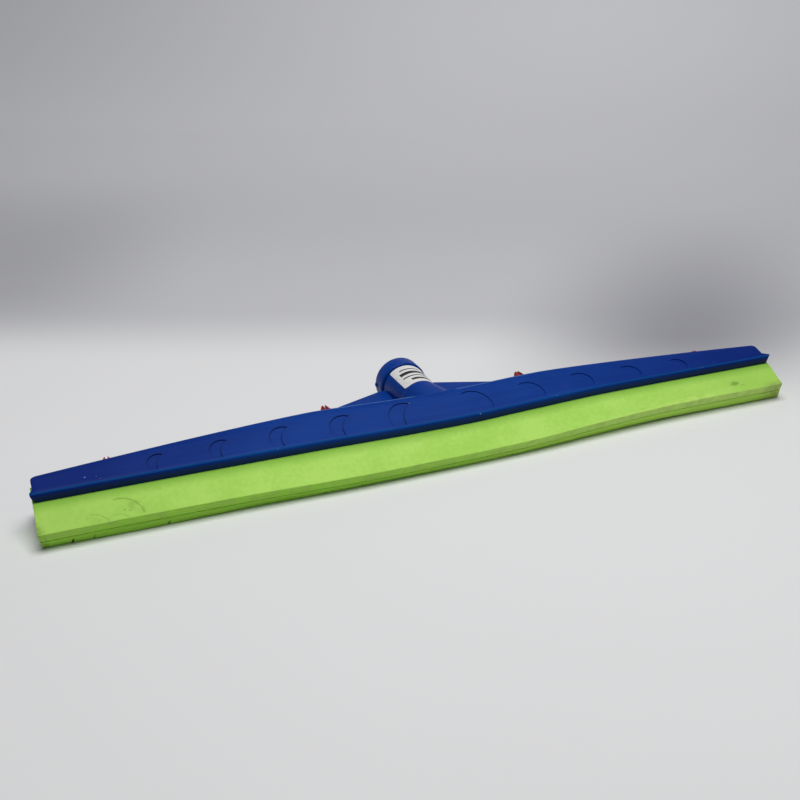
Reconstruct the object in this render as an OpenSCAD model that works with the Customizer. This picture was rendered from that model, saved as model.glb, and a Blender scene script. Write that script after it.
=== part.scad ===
// Floor squeegee head: a moulded plastic frame that clamps a double foam blade,
// held by four split snap rivets, with a socket for a broom handle.
//
// The head stands as it does when it is laid down without its handle: on the
// lower edge of the foam and on the bottom of the socket's rim. X runs along
// the blade, +Y runs from the foam to the socket, +Z is up. The origin is on
// the floor, under the middle of the whole head.
//
// The pieces are drawn flat, in the blade's own frame, and the module
// standing() then leans them all together. In the blade's frame x runs along
// the blade, y is the height above the working edge and z is the distance in
// front of the plane between the two foam strips.

/* [Foam blade] */
// How much shorter each end of the strips is than the jaw lips
foam_inset = 0.2; // [0:0.1:3]
// Thickness of one foam strip
foam_t = 6.75; // [4:0.05:10]
// Height of the strips, from the working edge to the hidden root
foam_h = 36; // [30:0.5:36.5]

/* [Frame] */
// Length over the jaw lips
frame_l = 550; // [420:1:800]
// How much shorter each end of the plates is than the lips
plate_inset = 3; // [0:0.5:10]
// Thickness of the plates
wall = 2.4; // [1.6:0.1:3.5]
// Height of the lower edge of the jaw lips above the working edge
lip_low = 23.5; // [18:0.5:26]
// Height of the widest line of the jaw lips, above their lower edge
lip_rise = 3.7; // [2:0.1:6]
// How far the jaw lips stand out from the foam
lip_out = 5.85; // [3:0.05:9]
// Lean of each plate towards the other, from the lips up
plate_lean = 8.5; // [0:0.5:12]
// Height of the plates at their ends
end_h = 40.5; // [40:0.5:60]
// Height of the plates at their crests
crest_h = 54; // [42:0.5:70]
// Height of the plates beside the socket
neck_h = 51.5; // [42:0.5:70]
// Distance of the crests from the middle
crest_x = 89; // [50:1:120]
// Radius of the plates' top corners
corner_r = 4.5; // [1:0.5:8]
// Thickness of the channel floor that the foam's root bears on
floor_t = 2.4; // [1.6:0.1:3.5]
// Number of cross ribs between the plates
rib_count = 17; // [9:2:25]
// Distance of the last ribs from the plates' ends
rib_end = 32; // [30:1:60]
// Thickness of a cross rib
rib_t = 1.8; // [1:0.1:3]

/* [Handle socket] */
// Angle between the socket and the blade
socket_angle = 26; // [15:1:40]
// Length of the socket, from its domed end to the face of its rim
socket_l = 46.9; // [40:0.1:70]
// Radius of the handle's thread, which the bore clears
bore_r = 11.25; // [9:0.05:13]
// Thickness of the solid end behind the bore
bore_end = 6.9; // [3:0.1:12]
// Radius of the sleeve at the rim
sleeve_r = 16.7; // [15:0.1:20]
// Radius of the sleeve at its domed end
dome_r = 15.8; // [14:0.1:19]
// Radius of the rim
rim_r = 18.2; // [16:0.1:24]
// Length of the rim
rim_l = 13.5; // [6:0.5:18]
// Rounding of the rim's edges
rim_round = 1.6; // [0.5:0.1:2.5]
// Height of the domed end's middle above the working edge
dome_y = 61; // [55:0.5:80]
// Distance of the domed end's middle behind the blade
dome_back = 11.8; // [8:0.1:20]
// Thickness of the gusset webs
web_t = 2.2; // [1.6:0.1:4]
// Half of the width of the webs where they meet the frame
web_reach = 140; // [90:1:160]

/* [Snap rivets] */
// Distance of the outer rivets from the frame's ends
rivet_end = 49.25; // [38:0.25:60]
// Radius of a rivet's shank
shank_r = 2.3; // [1.5:0.1:3]
// Radius of the arrowhead at its shoulder
barb_r = 4.2; // [3:0.1:5]
// Height of the arrowhead above its shoulder
barb_h = 7; // [6:0.5:12]
// Height of the shoulders of the two middle rivets
inner_seat = 57; // [50:0.5:62]
// Height of the shoulders of the two outer rivets
outer_seat = 46.5; // [42:0.5:60]

/* [Label] */
// Gap between the label and the rim
label_near = 1; // [0.5:0.1:6]
// Gap between the label and the domed end
label_far = 2.4; // [0.5:0.1:8]
// Angle that the label covers round the sleeve
label_angle = 110; // [60:5:150]
// Thickness of the label
label_t = 0.15; // [0.1:0.05:0.4]

/* [Fits] */
// Clearance between the foam's root and the channel floor
root_gap = 0.2; // [0:0.05:0.5]
// Clearance round a shank in its tower
shank_gap = 0.3; // [0.1:0.05:0.6]
// Clearance round a rivet in the foam
foam_gap = 0.2; // [0.1:0.05:0.5]

/* [Hidden] */
$fn = 72;
rivet_count = 4;
rivet_names = [for (i = [1:rivet_count]) str("snap_rivet_", i)];

plate_l = frame_l - 2 * plate_inset;
foam_l = frame_l - 2 * foam_inset;
bore_l = socket_l - bore_end;
rivet_pitch = (frame_l - 2 * rivet_end) / (rivet_count - 1);
floor_y = foam_h + root_gap;            // underside of the channel floor
lip_y = lip_low + lip_rise;             // widest line of the lips
lip_z = foam_t + lip_out;               // outer face of a plate at that line
neck_x = 12;                            // half of the flat stretch at the neck
taper_power = 1.3;                      // how the wings fall towards the ends
outline_step = 4;                       // spacing of the points on the wings
lip_land = 2.2;                         // height of a lip's face on the foam
lip_slant = 2.5;                        // how far a lip's lower corners are set in
tower_wall = 1.9;                       // wall of the tube round a shank
rib_drop = 2;                           // how far the ribs stay below the plates
web_slope = 4;                          // how much flatter the webs lie than the socket
web_top_x = 22;                         // half of the width of the webs at the socket
web_top_s = 17;                         // their distance there from the rim's face
web_foot_y = 50;                        // height at which the webs meet the frame
patch_t = 0.6;                          // thickness of the patches that the neck starts from
patch_depth = 2;                        // how far the front patch lies inside its plate
web_depth = 0.8;                        // how far the webs' foot lies outside the rear plate
neck_inset = 0.2;                       // how far the neck stays inside the domed end's edge
slot_w = 1.5;                           // slot that splits an arrowhead
head_size = [8, 2, 9];                  // head of a rivet, between the strips
head_top = foam_h - 3;                  // height of its upper face
label_start = rim_l + label_near;       // distance of the label from the rim's face
label_l = socket_l - label_far - label_start;

// Outer face of a plate, as a distance from the middle plane, at the height y
function plate_z(y) = lip_z - (y - lip_y) * tan(plate_lean);

// Height of the plates at the place x along the blade, without the corners
function wing(a) = crest_h - (crest_h - end_h)
    * pow((a - crest_x) / (plate_l / 2 - crest_x), taper_power);
function neck(a) = neck_h + (crest_h - neck_h)
    * (1 - cos(180 * max(0, a - neck_x) / (crest_x - neck_x))) / 2;
function corner(a) = let (over = max(0, a - plate_l / 2 + corner_r))
    corner_r - sqrt(max(0, corner_r * corner_r - over * over));
function top_y(x) = let (a = abs(x)) (a > crest_x ? wing(a) : neck(a)) - corner(a);

// Places along one half of the top edge, closer together on the corner
corner_start = plate_l / 2 - corner_r;
half_places = concat(
    [for (x = [0:outline_step:corner_start - 0.1]) x],
    [for (turn = [0:15:90]) corner_start + corner_r * sin(turn)]);
places = concat(
    [for (i = [len(half_places) - 1:-1:1]) -half_places[i]],
    half_places);

rivet_x = [for (i = [0:rivet_count - 1]) (i - (rivet_count - 1) / 2) * rivet_pitch];
function seat_y(x) = abs(x) < rivet_pitch ? inner_seat : outer_seat;

// Middle of the rim's face, and the lean that brings the rim down to the floor
rim_y = dome_y + socket_l * cos(socket_angle);
rim_z = -dome_back - socket_l * sin(socket_angle);
round_s = rim_round;                    // middle of the rim's rounding, from its face
round_v = rim_r - rim_round;            // and from the socket's axis
foot_y = rim_y - round_s * cos(socket_angle) - round_v * sin(socket_angle);
foot_z = rim_z + round_s * sin(socket_angle) - round_v * cos(socket_angle) + foam_t;
lean = atan2(-foot_z, foot_y) + asin(rim_round / norm([foot_y, foot_z]));

// Middle of the head in Y, between the foam's front edge and the rim's face
tilt = socket_angle - lean;             // how far the mouth looks down
front_y = -2 * foam_t * sin(lean);
face_y = rim_y * cos(lean) - (rim_z + foam_t) * sin(lean);
back_y = face_y - rim_round * cos(tilt) + (rim_r - rim_round) * sin(tilt) + rim_round;
middle_y = (front_y + back_y) / 2;

module standing() {
    translate([0, -middle_y, 0])
        rotate([lean, 0, 0])
            translate([0, 0, foam_t])
                children();
}

// A profile drawn in y and z, extruded along the blade
module along(length) {
    rotate([90, 0, 90])
        linear_extrude(height = length, center = true)
            children();
}

// An upright cylinder between two heights
module upright(r1, r2, from, to) {
    translate([0, from, 0])
        rotate([-90, 0, 0])
            cylinder(h = to - from, r1 = r1, r2 = r2);
}

// The socket's own frame: z runs out of the mouth, from the rim's face,
// and -y is the side that faces up
module at_socket() {
    translate([0, rim_y, rim_z])
        rotate([-90 - socket_angle, 0, 0])
            children();
}

module plate() {
    translate([0, lip_y, lip_z])
        rotate([-plate_lean, 0, 0])
            translate([0, 0, -wall])
                linear_extrude(height = wall)
                    polygon(concat(
                        [for (x = places) [x, (top_y(x) - lip_y) / cos(plate_lean)]],
                        [[plate_l / 2, 0], [-plate_l / 2, 0]]));
}

// A jaw lip: its land lies on the foam and its outer face slants back to it
module lip() {
    root_y = lip_y + wall + 0.4;
    intersection() {
        along(frame_l) polygon([
            [lip_low, foam_t],
            [lip_y, lip_z],
            [root_y, plate_z(root_y)],
            [root_y, plate_z(root_y) - wall],
            [lip_low + lip_land, foam_t]]);
        linear_extrude(height = lip_z + 1) polygon([
            [-frame_l / 2 + lip_slant, lip_low],
            [frame_l / 2 - lip_slant, lip_low],
            [frame_l / 2, lip_y],
            [frame_l / 2 - plate_inset, root_y],
            [-frame_l / 2 + plate_inset, root_y],
            [-frame_l / 2, lip_y]]);
    }
}

module channel_floor() {
    half = plate_z(floor_y + floor_t) - wall / 2;
    translate([-plate_l / 2, floor_y, -half])
        cube([plate_l, floor_t, 2 * half]);
}

module rib(x) {
    foot = floor_y + floor_t / 2;
    head = top_y(x) - rib_drop;
    translate([x, 0, 0])
        along(rib_t) polygon([
            [foot, wall / 2 - plate_z(foot)],
            [head, wall / 2 - plate_z(head)],
            [head, plate_z(head) - wall / 2],
            [foot, plate_z(foot) - wall / 2]]);
}

module ribs() {
    span = plate_l - 2 * rib_end;
    for (i = [0:rib_count - 1])
        rib(-span / 2 + i * span / (rib_count - 1));
}

module tower(x) {
    tower_r = shank_r + shank_gap + tower_wall;
    translate([x, 0, 0])
        upright(tower_r, tower_r, floor_y + floor_t / 2, seat_y(x));
}

// Sleeve and rim, turned about the socket's axis
module sleeve() {
    turn = [0:15:90];
    at_socket() rotate_extrude() polygon(concat(
        [[0, -socket_l], [dome_r, -socket_l], [sleeve_r, -rim_l]],
        [[rim_r - rim_round, -rim_l]],
        [for (a = turn) [rim_r - rim_round * (1 - sin(a)), -rim_l + rim_round * (1 - cos(a))]],
        [for (a = turn) [rim_r - rim_round * (1 - cos(a)), -rim_round * (1 - sin(a))]],
        [[0, 0]]));
}

// The smooth shoulder between the domed end and the two plates
module neck_blend() {
    front_y0 = 40;
    front_y1 = neck_h - 1;
    front_half = 26;
    back_y0 = 31;
    back_y1 = 39;
    back_half = 15;
    hull() {
        at_socket() translate([0, 0, -socket_l - patch_t / 2])
            cylinder(h = patch_t, r = dome_r - neck_inset, $fn = 32);
        translate([-front_half, front_y0, plate_z(neck_h) - patch_depth])
            cube([2 * front_half, front_y1 - front_y0, patch_t]);
        translate([-back_half, back_y0, -plate_z(back_y0) + patch_depth / 2])
            cube([2 * back_half, back_y1 - back_y0, patch_t]);
    }
}

// The gusset webs, one sheet that the sleeve passes through
module webs() {
    angle = socket_angle - web_slope;
    foot_z = -plate_z(web_foot_y) - web_depth;
    reach = (rim_y - web_foot_y) / cos(angle) - web_top_s;
    overlap = 5;
    translate([0, web_foot_y, foot_z])
        rotate([-angle, 0, 0])
            translate([0, 0, -web_t / 2])
                linear_extrude(height = web_t) polygon([
                    [-web_reach, -overlap],
                    [-web_reach, 0],
                    [-web_top_x, reach],
                    [web_top_x, reach],
                    [web_reach, 0],
                    [web_reach, -overlap]]);
}

module bore() {
    lead_l = 2.5;
    lead_r = bore_r + 1.5;
    at_socket() {
        translate([0, 0, -bore_l]) cylinder(h = bore_l + 1, r = bore_r);
        translate([0, 0, -lead_l]) cylinder(h = lead_l + 1, r1 = bore_r, r2 = lead_r);
    }
}

module foam_channel() {
    translate([-frame_l / 2 - 1, lip_low - 1, -foam_t])
        cube([frame_l + 2, floor_y - lip_low + 1, 2 * foam_t]);
}

module frame() {
    color("#1d4fae") standing() difference() {
        union() {
            plate();
            mirror([0, 0, 1]) plate();
            lip();
            mirror([0, 0, 1]) lip();
            channel_floor();
            ribs();
            for (x = rivet_x) tower(x);
            sleeve();
            neck_blend();
            webs();
        }
        foam_channel();
        bore();
        for (x = rivet_x) translate([x, 0, 0])
            upright(shank_r + shank_gap, shank_r + shank_gap, floor_y - 1, seat_y(x) + 1);
    }
}

module rivet(x) {
    land = 1.5;
    point_r = 1.7;
    seat = seat_y(x);
    slot_depth = barb_h + 5;
    color("#a3202c") standing() translate([x, 0, 0]) difference() {
        union() {
            translate([-head_size.x / 2, head_top - head_size.y, -head_size.z / 2])
                cube(head_size);
            upright(shank_r, shank_r, head_top - head_size.y / 2, seat + land);
            upright(barb_r, barb_r, seat, seat + land);
            upright(barb_r, point_r, seat + land, seat + barb_h);
        }
        translate([-slot_w / 2, seat + barb_h - slot_depth, -barb_r - 1])
            cube([slot_w, slot_depth + 1, 2 * barb_r + 2]);
    }
}

// The room that a rivet takes up between the strips
module rivet_pocket(x) {
    room = head_size + 2 * foam_gap * [1, 1, 1];
    translate([x - room.x / 2, head_top - head_size.y - foam_gap, -room.z / 2])
        cube(room);
    translate([x, 0, 0])
        upright(shank_r + foam_gap, shank_r + foam_gap, head_top - foam_gap, foam_h + 1);
}

module foam_strip(side) {
    color("#a9e36a") standing() difference() {
        translate([-foam_l / 2, 0, side > 0 ? 0 : -foam_t])
            cube([foam_l, foam_h, foam_t]);
        for (x = rivet_x) rivet_pocket(x);
    }
}

module socket_label() {
    slope = (sleeve_r - dome_r) / (socket_l - rim_l);
    near_r = sleeve_r - (label_start - rim_l) * slope;
    far_r = near_r - label_l * slope;
    left_edge = 45;
    color("#f2f2ef") standing() at_socket()
        rotate([0, 0, -90 - left_edge])
            rotate_extrude(angle = label_angle) polygon([
                [near_r, -label_start],
                [near_r + label_t, -label_start],
                [far_r + label_t, -label_start - label_l],
                [far_r, -label_start - label_l]]);
}

frame();
foam_strip(1);  // front_foam_blade
foam_strip(-1);  // rear_foam_blade
for (i = [0:rivet_count - 1])
    rivet(rivet_x[i]);
socket_label();
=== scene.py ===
# %% [markdown]
# # A floor squeegee head with a double foam blade
#
# The head is lying on a pale floor without its handle. A long blue frame, moulded in one
# piece, grips two strips of lime green foam. Four red snap rivets hold the foam, and a short
# socket with a thick rim waits for a screw-in broom handle.
#
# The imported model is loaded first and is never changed. It says where everything is. The new
# pieces below stand for its solids and ride with it.

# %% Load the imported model
import math
import bisect
import bpy
import bmesh
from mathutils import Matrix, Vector


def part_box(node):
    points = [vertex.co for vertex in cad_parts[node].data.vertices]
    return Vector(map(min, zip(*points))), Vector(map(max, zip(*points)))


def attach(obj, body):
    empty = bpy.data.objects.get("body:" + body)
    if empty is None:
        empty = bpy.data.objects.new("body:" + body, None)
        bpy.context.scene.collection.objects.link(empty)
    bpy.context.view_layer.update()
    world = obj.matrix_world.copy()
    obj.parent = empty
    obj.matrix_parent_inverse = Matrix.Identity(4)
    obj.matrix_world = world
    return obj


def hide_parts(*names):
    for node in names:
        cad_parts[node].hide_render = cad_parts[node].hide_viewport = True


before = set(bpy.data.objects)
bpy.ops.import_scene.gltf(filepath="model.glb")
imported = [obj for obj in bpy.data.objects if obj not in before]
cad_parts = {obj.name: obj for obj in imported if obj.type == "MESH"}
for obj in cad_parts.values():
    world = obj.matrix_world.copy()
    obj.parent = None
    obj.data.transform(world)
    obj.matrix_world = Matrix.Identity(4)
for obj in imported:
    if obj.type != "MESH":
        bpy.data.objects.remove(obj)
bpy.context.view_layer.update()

# %% [markdown]
# ## The blade's own frame
#
# The head leans, because it lies on the lower edge of its foam and on the rim of its socket.
# Drawing leaned pieces is hard, so every piece is drawn flat first, in millimetres: x runs
# along the blade, y is the height above the working edge, and z is the distance in front of
# the plane between the two strips. `stand` then makes it metres, leans it and sets it down.
#
# The lean isn't guessed. The lowest corners of the two strips are one strip's thickness apart,
# so their distance and direction give both the thickness and the lean.

# %% Measure the lean and the strips
MM = 0.001
rear_low, rear_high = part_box("rear_foam_blade")
front_low, front_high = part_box("front_foam_blade")
frame_low, frame_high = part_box("frame")
step = Vector((rear_low.y - front_low.y, front_low.z - rear_low.z))
lean = math.atan2(step.x, step.y)
foam_t = step.length / MM
foam_l = (front_high.x - front_low.x) / MM
frame_l = (frame_high.x - frame_low.x) / MM
blade_origin = Vector((0, rear_low.y, front_low.z))
foam_h = ((rear_high.y - rear_low.y) / MM - foam_t * math.sin(lean)) / math.cos(lean)
print("lean %.2f degrees, strips %.2f thick, %.1f high, %.1f long, frame %.1f long"
      % (math.degrees(lean), foam_t, foam_h, foam_l, frame_l))

# %% [markdown]
# ## Small tools
#
# Operators work on whatever is selected, and the loaded nodes start out selected. So these
# helpers deselect first. `pick` selects parts of a mesh by their place or by the way they
# face, as a modeller would with the mouse.


# %% Tools for editing
def deselect():
    """Leaves edit mode and deselects everything."""
    if bpy.context.object and bpy.context.object.mode != "OBJECT":
        bpy.ops.object.mode_set(mode="OBJECT")
    bpy.ops.object.select_all(action="DESELECT")


def take(piece):
    """Selects one piece and nothing else."""
    deselect()
    piece.select_set(True)
    bpy.context.view_layer.objects.active = piece


def edit(piece):
    """Opens one piece in edit mode."""
    take(piece)
    bpy.ops.object.mode_set(mode="EDIT")


def edit_all(piece):
    """Opens one piece in edit mode with all of it selected."""
    edit(piece)
    bpy.ops.mesh.select_all(action="SELECT")


def close_outwards():
    """Turns the selected faces outwards and leaves edit mode."""
    bpy.ops.mesh.normals_make_consistent(inside=False)
    deselect()


def named(name):
    """Names the piece that an operator has just added."""
    piece = bpy.context.object
    piece.name = name
    piece.data.name = name
    return piece


def middle(face):
    """Middle of a face."""
    return sum((v.co for v in face.verts), Vector()) / len(face.verts)


def pick(piece, kind, test):
    """Selects the vertices, edges or faces that pass a test, and says how many."""
    bpy.ops.mesh.select_mode(type=kind)
    bpy.ops.mesh.select_all(action="DESELECT")
    mesh = bmesh.from_edit_mesh(piece.data)
    items = {"VERT": mesh.verts, "EDGE": mesh.edges, "FACE": mesh.faces}[kind]
    mesh.normal_update()
    chosen = [item for item in items if test(item)]
    for item in chosen:
        item.select_set(True)
    mesh.select_flush_mode()
    bmesh.update_edit_mesh(piece.data)
    return len(chosen)


def apply_place(piece):
    """Puts a piece's place, turn and scale into its mesh."""
    take(piece)
    bpy.ops.object.transform_apply(location=True, rotation=True, scale=True)


def put(piece, place=(0, 0, 0), turn=0.0):
    """Turns a piece about the blade's direction, moves it, and keeps both in its mesh."""
    piece.rotation_euler = (turn, 0, 0)
    piece.location = place
    apply_place(piece)


def modify(piece, kind, **settings):
    """Adds a modifier, sets it and applies it."""
    take(piece)
    modifier = piece.modifiers.new(kind.lower(), kind)
    for name, value in settings.items():
        setattr(modifier, name, value)
    bpy.ops.object.modifier_apply(modifier=modifier.name)


def soften(piece, width, segments=2, angle=35):
    """Rounds the edges that turn by more than the angle."""
    modify(piece, "BEVEL", width=width, segments=segments, limit_method="ANGLE",
           angle_limit=math.radians(angle), use_clamp_overlap=True)


def carve(piece, cutter):
    """Cuts one piece with another and removes the cutter."""
    modify(piece, "BOOLEAN", object=cutter, operation="DIFFERENCE", solver="EXACT")
    bpy.data.objects.remove(cutter)


def merge(piece, distance=0.0005):
    """Merges doubled points and turns the faces outwards."""
    edit_all(piece)
    bpy.ops.mesh.remove_doubles(threshold=distance)
    close_outwards()


def reshape(piece, rule):
    """Moves each point by a rule from its x, y and z, like a very exact proportional edit."""
    for vertex in piece.data.vertices:
        vertex.co = rule(*vertex.co)
    piece.data.update()


def mirror_of(piece, name, flip):
    """A copy with its own mesh, scaled by -1 along the axis where flip says so."""
    take(piece)
    bpy.ops.object.duplicate(linked=False)
    copy = named(name)
    edit_all(copy)
    bpy.ops.transform.resize(value=flip, center_override=(0, 0, 0))
    close_outwards()
    return copy


def join(first, *others):
    """Joins pieces into the first one."""
    take(first)
    for other in others:
        other.select_set(True)
    bpy.ops.object.join()
    return first


def slices(piece, axis, cuts):
    """Cuts a straight-sided piece evenly along one axis, by its edges in that direction."""
    edit(piece)
    pick(piece, "EDGE", lambda e: abs((e.verts[0].co - e.verts[1].co).normalized()[axis]) > 0.99)
    bpy.ops.mesh.subdivide(number_cuts=cuts)
    deselect()


def block(name, size, place):
    """A cube at its size and place: the start of a piece."""
    deselect()
    bpy.ops.mesh.primitive_cube_add(size=1, location=place)
    piece = named(name)
    piece.scale = size
    apply_place(piece)
    return piece


def turned(name, outline, steps):
    """A piece turned on a lathe: an outline of (radius, height) spun about z."""
    deselect()
    mesh = bpy.data.meshes.new(name)
    points = [(r, 0, h) for r, h in outline]
    mesh.from_pydata(points, [(i, i + 1) for i in range(len(points) - 1)], [])
    piece = bpy.data.objects.new(name, mesh)
    bpy.context.scene.collection.objects.link(piece)
    edit_all(piece)
    bpy.ops.mesh.spin(steps=steps, angle=math.tau, center=(0, 0, 0), axis=(0, 0, 1))
    deselect()
    merge(piece)
    return piece


def stand(piece):
    """Makes a flat piece metres, leans it and sets it down on the floor."""
    piece.scale = (MM, MM, MM)
    put(piece, blade_origin, lean)


# %% [markdown]
# ## The camera
#
# The camera comes early, because every later choice is judged through it. It stands in front
# of the left end and looks down across the head, so the near end is large and the far end is
# small.

# %% Camera
eye = Vector((-0.2829, -0.64407, 0.3685))
gaze = Vector((0.3395, 0.8322, -0.4384))
bpy.ops.object.camera_add(location=eye, rotation=gaze.to_track_quat("-Z", "Y").to_euler())
camera = bpy.context.object
camera.data.sensor_width = 36
camera.data.lens = 49.13
camera.data.clip_start = 0.01
bpy.context.scene.camera = camera
print("camera looks down by %.1f degrees" % math.degrees(math.asin(-gaze.normalized().z)))

# %% [markdown]
# ## How the head has settled
#
# A long thin moulding is never straight. The lips of this one have bowed down a little in the
# middle, and the foam has taken a wave: it sags in the middle and lifts towards the right. A
# lattice or a curve modifier could bend the pieces. A rule for each point is easier to read
# and treats every piece in the same way, so plates, ribs and foam stay together.


# %% Curves that the head follows
def through(points, place):
    """Height of a smooth curve through the points, at one place."""
    places = [p for p, h in points]
    heights = [h for p, h in points]
    last = len(points) - 1
    if place <= places[0]:
        return heights[0]
    if place >= places[last]:
        return heights[last]
    i = bisect.bisect_right(places, place) - 1
    width = places[i + 1] - places[i]

    def slope(k):
        if k in (0, last):
            return 0
        return (heights[k + 1] - heights[k - 1]) / (places[k + 1] - places[k - 1])

    t = (place - places[i]) / width
    rise = heights[i + 1] - heights[i]
    smooth = t * t * (3 - 2 * t)
    return (heights[i] + rise * smooth + width * (t ** 3 - 2 * t * t + t) * slope(i)
            + width * (t ** 3 - t * t) * slope(i + 1))


def ease(value, start, end):
    """0 before start, 1 after end, smooth between them."""
    t = min(1, max(0, (value - start) / (end - start)))
    return t * t * (3 - 2 * t)


# Place along the blade, and how far the lips have risen there.
LIP_BOW = [(-275, -0.7), (-100, -1.7), (-30, -2.9), (20, -3.0), (60, -1.5), (130, 0.7), (275, 0.3)]


def bow(x, y):
    """How far the moulding has bowed up at one place."""
    return through(LIP_BOW, x) * (1 - ease(y, 30, 50))


def settle(piece):
    """Bows a moulded piece, while it is still drawn flat."""
    reshape(piece, lambda x, y, z: (x, y + bow(x, y), z))


print("bow of the lips in the middle: %.1f mm" % bow(0, 25))

# %% [markdown]
# ## Shader arithmetic
#
# A finish is a small sum: base colour, plus dirt where a mask says so, less gloss where it is
# scuffed. `Wire` wraps a socket, so such a sum is written as Python and adds its Math nodes by
# itself. `Finish` owns one material and makes every other node with one method.
#
# Patterns are laid out in the blade's frame, so the numbers in a finish are the same
# millimetres as in the pieces. A finish for bent pieces reads the place that each point
# remembers. For the others a Mapping node of type TEXTURE undoes `stand`.


# %% Wire and Finish
FLAT = "flat_place"


def sign(operation, swapped=False):
    """An arithmetic sign that adds one Math node, with its two sides swapped if asked."""
    if swapped:
        return lambda wire, other: wire.math(operation, other, wire)
    return lambda wire, *others: wire.math(operation, wire, *others)


class Wire:
    """One output of a node. Arithmetic on it adds Math nodes."""

    def __init__(self, finish, socket):
        self.finish = finish
        self.socket = socket

    def math(self, operation, *values):
        """One Math node on these values."""
        return self.finish.node("Math", dict(enumerate(values)), operation=operation)

    __add__ = sign("ADD")
    __radd__ = sign("ADD", swapped=True)
    __sub__ = sign("SUBTRACT")
    __rsub__ = sign("SUBTRACT", swapped=True)
    __mul__ = sign("MULTIPLY")
    __rmul__ = sign("MULTIPLY", swapped=True)
    __truediv__ = sign("DIVIDE")
    __pow__ = sign("POWER")
    __abs__ = sign("ABSOLUTE")


def socket_of(sockets, key):
    """One of a node's enabled sockets, by its number or its name."""
    shown = [s for s in sockets if s.enabled]
    return shown[key] if isinstance(key, int) else next(s for s in shown if s.name == key)


class Finish:
    """One material, built round a Principled shader."""

    def __init__(self, name, own_place=False, **constants):
        self.material = bpy.data.materials.new(name)
        self.material.use_nodes = True
        self.tree = self.material.node_tree
        self.shader = self.tree.nodes["Principled BSDF"]
        for socket, value in constants.items():
            self.shader.inputs[socket.replace("_", " ")].default_value = value
        if own_place:
            self.blade = self.node("Attribute", output="Vector", attribute_name=FLAT)
        else:
            local = self.node("TexCoord", output="Object")
            self.blade = self.node("Mapping", {
                "Vector": local, "Location": blade_origin, "Rotation": (lean, 0, 0),
                "Scale": (MM, MM, MM)}, vector_type="TEXTURE")
        self.x = self.node("SeparateXYZ", {0: self.blade}, output="X")
        self.y = Wire(self, self.x.socket.node.outputs["Y"])
        self.z = Wire(self, self.x.socket.node.outputs["Z"])

    def node(self, kind, inputs=None, output=0, **settings):
        """Any node: its type, the values or links of its sockets, and its settings."""
        made = self.tree.nodes.new("ShaderNode" + kind)
        for name, value in settings.items():
            setattr(made, name, value)
        for key, value in (inputs or {}).items():
            self.feed(socket_of(made.inputs, key), value)
        return Wire(self, socket_of(made.outputs, output))

    def feed(self, socket, value):
        """Links a wire to a socket, or sets the socket's own value."""
        if isinstance(value, Wire):
            self.tree.links.new(value.socket, socket)
        elif socket.type == "RGBA" and len(value) == 3:
            socket.default_value = (*value, 1)
        else:
            socket.default_value = value

    def noise(self, size, detail, stretch=None, shift=0.0):
        """Soft noise whose features are about size millimetres across."""
        place = self.blade
        if stretch or shift:
            place = self.node("Mapping", {
                "Vector": place, "Location": (shift, shift, shift), "Scale": stretch or (1, 1, 1)})
        return self.node("TexNoise", {"Vector": place, "Scale": 1 / size, "Detail": detail})

    def cells(self, size):
        """Distance inside cells of about size millimetres."""
        return self.node("TexVoronoi", {"Vector": self.blade, "Scale": 1 / size})

    def band(self, value, start, end, low=0.0, high=1.0):
        """Goes smoothly from low at start to high at end, and stays there."""
        return self.node("MapRange", {
            "Value": value, "From Min": start, "From Max": end, "To Min": low, "To Max": high},
            interpolation_type="SMOOTHSTEP")

    def mix(self, amount, first, second):
        """Colour that goes from the first to the second."""
        return self.node("Mix", {0: amount, 1: first, 2: second}, data_type="RGBA")

    def spot(self, x, y, radius_x, radius_y, soft, turn=0.0):
        """A soft oval at a place on the blade, 1 in its middle."""
        c, s = math.cos(turn), math.sin(turn)
        along = ((self.x - x) * c + (self.y - y) * s) / radius_x
        across = ((self.y - y) * c - (self.x - x) * s) / radius_y
        return self.band(along * along + across * across, 1, 1 - soft)

    def math_length(self, across, up):
        """Distance from a place, from its two parts."""
        return (across * across + up * up) ** 0.5

    def math_max(self, first, second):
        """The larger of two masks."""
        return self.node("Math", {0: first, 1: second}, operation="MAXIMUM")

    def bump(self, height, distance, strength, after=None):
        """Normal from a height in millimetres, on top of another normal if there is one."""
        inputs = {"Height": height, "Distance": distance * MM, "Strength": strength}
        if after:
            inputs["Normal"] = after
        return self.node("Bump", inputs)

    def finished(self, **wires):
        """Feeds the sockets of the Principled shader and gives the material."""
        for socket, value in wires.items():
            self.feed(self.shader.inputs[socket.replace("_", " ")], value)
        print("made", self.material.name, "with", len(self.tree.nodes), "nodes")
        return self.material


print("shader helpers ready")

# %% [markdown]
# ## Green foam
#
# The strips are closed-cell rubber foam, cut from a sheet. The broad faces carry the sheet's
# matt skin. The cut edges are a stronger green, with the faint lines that the knife left, and
# paler towards the right. A used blade also has stains, scratches and a grimy corner. Shade is
# painted in too: on the face just below the lips and towards both of its ends, in the nicks of
# the rear strip, and, together with dirt, along the rear strip's lowest edge. The strips bend,
# and their marks have to bend with them, so this finish reads a place that each point
# remembers from when the strip was still flat. The helper below stores it.


# %% Remember the flat place of each point
def remember(piece):
    """Stores where each point lies now, in millimetres, for its finish to read."""
    places = piece.data.attributes.new(FLAT, "FLOAT_VECTOR", "POINT")
    for point, stored in zip(piece.data.vertices, places.data):
        stored.vector = point.co


print("pieces can now remember their flat place")


# %% Stains, scratches, grime and painted shade on the foam
# Nicks in the free edge of each strip: place along the blade, and depth. The shape uses them too.
FRONT_NICKS = [(-225, 0.6), (-31, 0.4), (148, 0.5)]
REAR_NICKS = [(-257, 1.8), (-244, 0.7), (-198, 1.1), (-96, 0.6), (41, 0.7)]


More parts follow.
